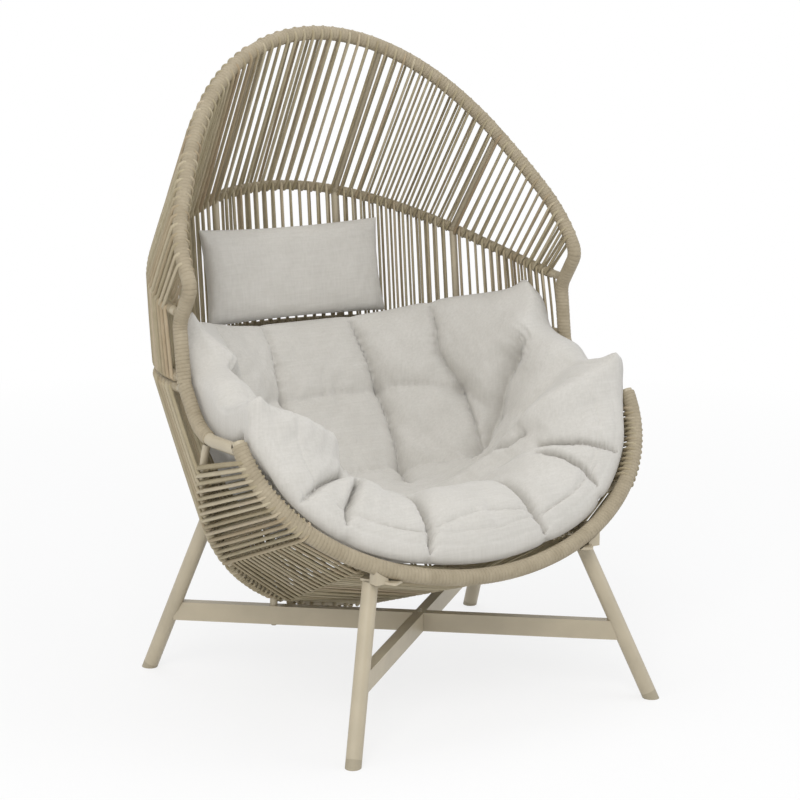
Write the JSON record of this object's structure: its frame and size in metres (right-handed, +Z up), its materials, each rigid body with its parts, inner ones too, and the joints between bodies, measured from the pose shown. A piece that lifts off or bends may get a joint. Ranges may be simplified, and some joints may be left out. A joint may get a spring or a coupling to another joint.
{
  "type": "egg lounge chair",
  "caption": "Free-standing egg-shaped lounge chair: a corded steel shell of hood and seat on splayed legs with a crossed rail base, with a tufted cushion and a head pillow.",
  "frame": {"origin": "on the floor under the middle of the chair, halfway along its width and its depth", "axes": "+Z up, +Y towards the back of the chair, +X to the right of someone who looks at the chair from its front"},
  "size_m": [0.9888, 0.9743, 1.3654],
  "materials": {
    "frame": "powder coated, satin",
    "cord": "flat woven resin cord, matt",
    "cushion_fabric": "woven cloth, matt",
    "glide_plastic": "moulded, matt",
    "cap_plastic": "moulded, matt",
    "fastener": "painted, satin"
  },
  "bodies": {
    "root": {"leg_front_left": "frame", "leg_front_right": "frame", "leg_rear_left": "frame", "leg_rear_right": "frame", "foot_glides": "glide_plastic", "rail_long": "frame", "rail_crossing": "frame", "centre_bolt": "fastener", "front_saddles": "frame", "rear_saddles": "frame", "saddle_bolts": "fastener", "hoop_spacers": "frame", "hoop_bolts": "fastener", "front_hoop": "frame", "hoop_end_caps": "cap_plastic", "seat_side_left": "frame", "seat_side_right": "frame", "under_hoop": "frame", "seat_back_ring": "frame", "seat_base_ribs": "frame", "seat_back_ribs": "frame", "joining_pins": "fastener", "hood_arch": "frame", "hood_mid_ring": "frame", "hood_lower_ring": "frame", "hood_upper_ribs": "frame", "hood_lower_ribs": "frame", "hood_post_wrap_left": "cord", "hood_post_wrap_right": "cord", "seat_post_wrap_left": "cord", "seat_post_wrap_right": "cord", "front_hoop_wrap": "cord", "hood_upper_cords_left": "cord", "hood_upper_cords_mid_left": "cord", "hood_upper_cords_centre": "cord", "hood_upper_cords_mid_right": "cord", "hood_upper_cords_right": "cord", "hood_lower_cords_left": "cord", "hood_lower_cords_mid_left": "cord", "hood_lower_cords_centre": "cord", "hood_lower_cords_mid_right": "cord", "hood_lower_cords_right": "cord", "back_cords_left": "cord", "back_cords_mid_left": "cord", "back_cords_centre": "cord", "back_cords_mid_right": "cord", "back_cords_right": "cord", "arm_cords_left": "cord", "arm_cords_right": "cord", "base_cords_left": "cord", "base_cords_inner_left": "cord", "base_cords_inner_right": "cord", "base_cords_right": "cord", "seat_cushion": "cushion_fabric", "head_pillow": "cushion_fabric"}
  },
  "joints": []
}
